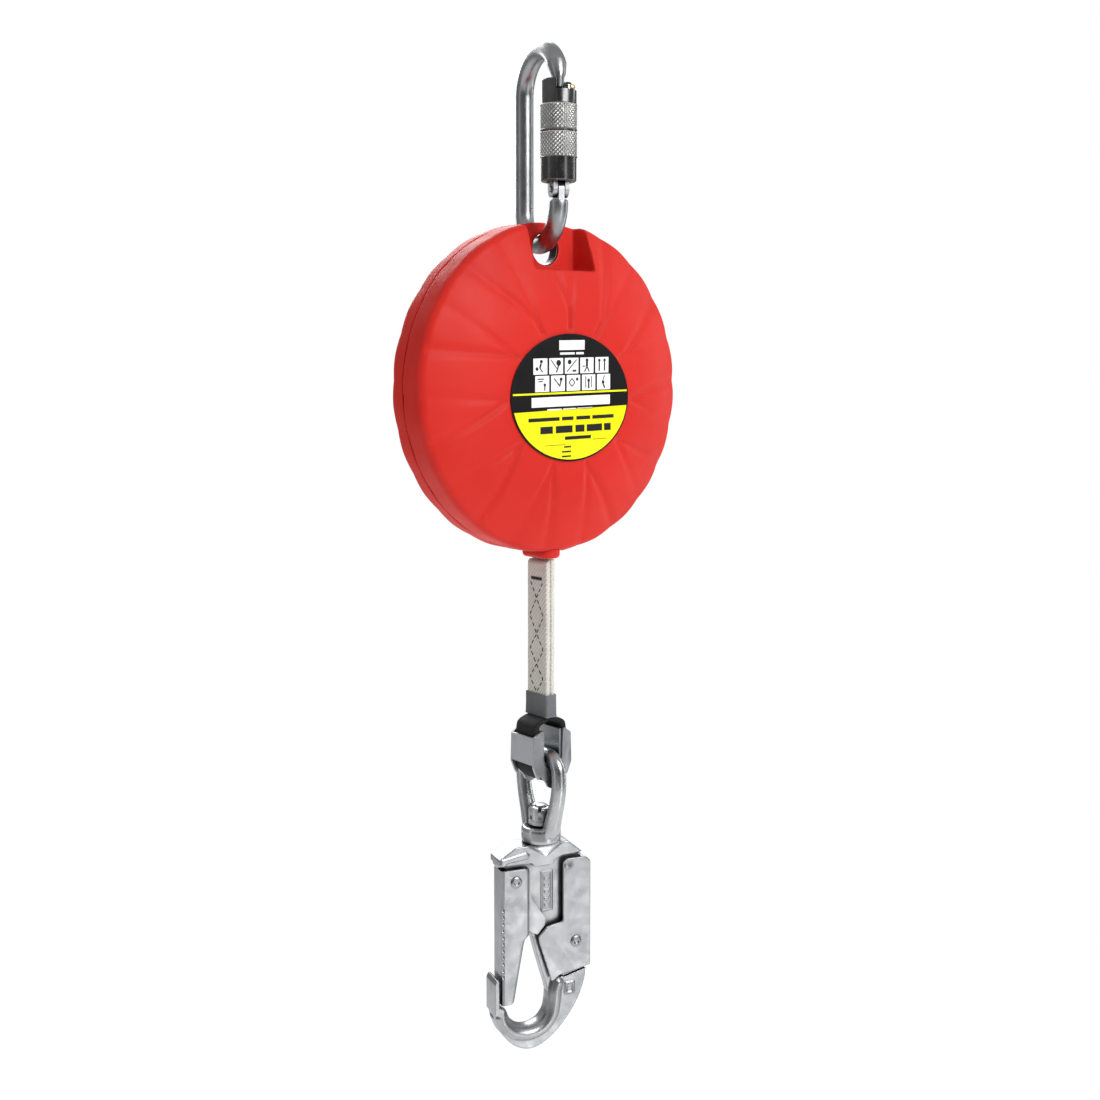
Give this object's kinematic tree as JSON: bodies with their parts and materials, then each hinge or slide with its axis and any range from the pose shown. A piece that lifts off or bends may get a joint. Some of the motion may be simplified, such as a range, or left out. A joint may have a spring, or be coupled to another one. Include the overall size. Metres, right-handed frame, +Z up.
{
  "type": "self retracting lifeline",
  "caption": "Fall-arrest block: a twist-lock carabiner carries a fluted round housing that reels webbing ending in a swivel snap hook.",
  "frame": {"origin": "inner top of the carabiner, where the anchor it hangs from bears", "axes": "+Z up, against gravity; the label side of the housing faces -Y; +X to the right of the label"},
  "size_m": [0.1692, 0.0618, 0.5289],
  "materials": {
    "carabiner_body": "zinc plated",
    "carabiner_gate_pin": "zinc plated",
    "carabiner_gate": "zinc plated",
    "sleeve_stop_pin": "plain",
    "twist_lock_sleeve": "zinc plated",
    "front_shell": "semi-gloss red moulding",
    "rear_shell": "semi-gloss red moulding",
    "front_label": "printed label",
    "housing_screw_1": "dark sheet or spring steel",
    "housing_screw_2": "dark sheet or spring steel",
    "housing_screw_3": "dark sheet or spring steel",
    "housing_screw_4": "dark sheet or spring steel",
    "housing_screw_5": "dark sheet or spring steel",
    "housing_screw_6": "dark sheet or spring steel",
    "anchor_bush": "zinc plated",
    "anchor_plate": "dark sheet or spring steel",
    "front_frame_plate": "dark sheet or spring steel",
    "rear_frame_plate": "dark sheet or spring steel",
    "frame_bolt_1": "zinc plated",
    "frame_bolt_2": "zinc plated",
    "frame_bolt_3": "zinc plated",
    "frame_bolt_4": "zinc plated",
    "exit_nozzle": "semi-gloss red moulding",
    "webbing_guide_bar": "zinc plated",
    "webbing_lead": "woven polyester webbing",
    "main_shaft": "zinc plated",
    "spring_cup": "dark sheet or spring steel",
    "power_spring": "dark sheet or spring steel",
    "ratchet_ring": "dark sheet or spring steel",
    "webbing_drum": "matt",
    "webbing_roll": "woven polyester webbing",
    "spring_arbor": "zinc plated",
    "front_friction_lining": "friction material",
    "rear_friction_lining": "friction material",
    "brake_hub": "zinc plated",
    "bearing_bush": "plain",
    "pressure_plate": "zinc plated",
    "disc_spring_washer": "zinc plated",
    "brake_nut": "zinc plated",
    "pawl_carrier": "zinc plated",
    "pawl_a_pin": "zinc plated",
    "pawl_b_pin": "zinc plated",
    "pawl_a": "zinc plated",
    "pawl_b": "zinc plated",
    "webbing_run": "woven polyester webbing",
    "sewn_strap": "woven polyester webbing",
    "shrink_band": "matt",
    "wear_sleeve_loop": "woven black webbing sleeve",
    "thimble": "satin sheet steel",
    "swivel_eye": "zinc plated",
    "swivel_stud": "zinc plated",
    "stud_nut": "zinc plated",
    "nut_cross_pin": "zinc plated",
    "hook_body": "zinc plated",
    "hook_gate_rivet": "zinc plated",
    "hook_gate_spring": "dark sheet or spring steel",
    "safety_lever_rivet": "zinc plated",
    "safety_lever_spring": "dark sheet or spring steel",
    "hook_gate": "zinc plated",
    "safety_lever": "zinc plated"
  },
  "bodies": {
    "carabiner": {"carabiner_body": "carabiner_body", "carabiner_gate_pin": "carabiner_gate_pin"},
    "carabiner_gate": {"carabiner_gate": "carabiner_gate", "sleeve_stop_pin": "sleeve_stop_pin"},
    "lock_sleeve": {"twist_lock_sleeve": "twist_lock_sleeve"},
    "housing": {"front_shell": "front_shell", "rear_shell": "rear_shell", "front_label": "front_label", "housing_screw_1": "housing_screw_1", "housing_screw_2": "housing_screw_2", "housing_screw_3": "housing_screw_3", "housing_screw_4": "housing_screw_4", "housing_screw_5": "housing_screw_5", "housing_screw_6": "housing_screw_6", "anchor_bush": "anchor_bush", "anchor_plate": "anchor_plate", "front_frame_plate": "front_frame_plate", "rear_frame_plate": "rear_frame_plate", "frame_bolt_1": "frame_bolt_1", "frame_bolt_2": "frame_bolt_2", "frame_bolt_3": "frame_bolt_3", "frame_bolt_4": "frame_bolt_4", "exit_nozzle": "exit_nozzle", "webbing_guide_bar": "webbing_guide_bar", "webbing_lead": "webbing_lead", "main_shaft": "main_shaft", "spring_cup": "spring_cup", "power_spring": "power_spring", "ratchet_ring": "ratchet_ring"},
    "drum": {"webbing_drum": "webbing_drum", "webbing_roll": "webbing_roll", "spring_arbor": "spring_arbor", "front_friction_lining": "front_friction_lining", "rear_friction_lining": "rear_friction_lining"},
    "brake_carrier": {"brake_hub": "brake_hub", "bearing_bush": "bearing_bush", "pressure_plate": "pressure_plate", "disc_spring_washer": "disc_spring_washer", "brake_nut": "brake_nut", "pawl_carrier": "pawl_carrier", "pawl_a_pin": "pawl_a_pin", "pawl_b_pin": "pawl_b_pin"},
    "pawl_a": {"pawl_a": "pawl_a"},
    "pawl_b": {"pawl_b": "pawl_b"},
    "lifeline": {"webbing_run": "webbing_run", "sewn_strap": "sewn_strap", "shrink_band": "shrink_band", "wear_sleeve_loop": "wear_sleeve_loop", "thimble": "thimble"},
    "eye": {"swivel_eye": "swivel_eye"},
    "hook": {"swivel_stud": "swivel_stud", "stud_nut": "stud_nut", "nut_cross_pin": "nut_cross_pin", "hook_body": "hook_body", "hook_gate_rivet": "hook_gate_rivet", "hook_gate_spring": "hook_gate_spring", "safety_lever_rivet": "safety_lever_rivet", "safety_lever_spring": "safety_lever_spring"},
    "hook_gate": {"hook_gate": "hook_gate"},
    "safety_lever": {"safety_lever": "safety_lever"}
  },
  "joints": [
    {"name": "housing_swing", "type": "hinge", "parent": "carabiner", "child": "housing", "pos_m": [0, 0, -0.0928], "axis": [0, 1, 0], "range_deg": [-25, 25]},
    {"name": "carabiner_gate", "type": "hinge", "parent": "carabiner", "child": "carabiner_gate", "pos_m": [-0.00804, -0.02388, -0.0675], "axis": [-0.9478, 0.319, 0], "range_deg": [0, 40], "stiffness_Nm_per_rad": 0.3, "springref_deg": -34.38},
    {"name": "sleeve_twist", "type": "hinge", "parent": "carabiner_gate", "child": "lock_sleeve", "pos_m": [-0.00804, -0.02388, -0.039], "axis": [0, 0, 1], "range_deg": [0, 90], "stiffness_Nm_per_rad": 0.05, "springref_deg": -34.38},
    {"name": "webbing_payout", "type": "slide", "parent": "housing", "child": "lifeline", "axis": [0, 0, -1], "range_m": [0, 2.7], "stiffness_N_per_m": 2, "springref_m": -8, "deforming": ["webbing_run"]},
    {"name": "drum_spin", "type": "hinge", "parent": "housing", "child": "drum", "pos_m": [0, 0, -0.1668], "axis": [0, 1, 0], "range_deg": [0, 3811]},
    {"name": "brake_slip", "type": "hinge", "parent": "drum", "child": "brake_carrier", "pos_m": [0, 0, -0.1668], "axis": [0, 1, 0], "range_deg": [-1620, 0]},
    {"name": "pawl_a_swing", "type": "hinge", "parent": "brake_carrier", "child": "pawl_a", "pos_m": [0.00499, 0, -0.15308], "axis": [0, -1, 0], "range_deg": [0, 15], "stiffness_Nm_per_rad": 0.02, "springref_deg": -17.19},
    {"name": "pawl_b_swing", "type": "hinge", "parent": "brake_carrier", "child": "pawl_b", "pos_m": [-0.00499, 0, -0.18052], "axis": [0, -1, 0], "range_deg": [0, 15], "stiffness_Nm_per_rad": 0.02, "springref_deg": -17.19},
    {"name": "eye_tilt", "type": "hinge", "parent": "lifeline", "child": "eye", "pos_m": [0, 0, -0.3603], "axis": [0, 1, 0], "range_deg": [-80, 80]},
    {"name": "hook_swivel", "type": "hinge", "parent": "eye", "child": "hook", "pos_m": [0, 0, -0.4074], "axis": [0, 0, 1], "continuous": true},
    {"name": "hook_gate_hinge", "type": "hinge", "parent": "hook", "child": "hook_gate", "pos_m": [-0.01615, 0.00463, -0.4263], "axis": [-0.2756, -0.9613, 0], "range_deg": [0, 12], "stiffness_Nm_per_rad": 0.6, "springref_deg": -28.65},
    {"name": "safety_lever_hinge", "type": "hinge", "parent": "hook", "child": "safety_lever", "pos_m": [0.01682, -0.00482, -0.4632], "axis": [-0.2756, -0.9613, 0], "range_deg": [0, 4], "stiffness_Nm_per_rad": 0.8, "springref_deg": -22.92}
  ],
  "couplings": [
    {"joint": "drum_spin", "follows": "webbing_payout", "rad_per_m": 24.628}
  ]
}
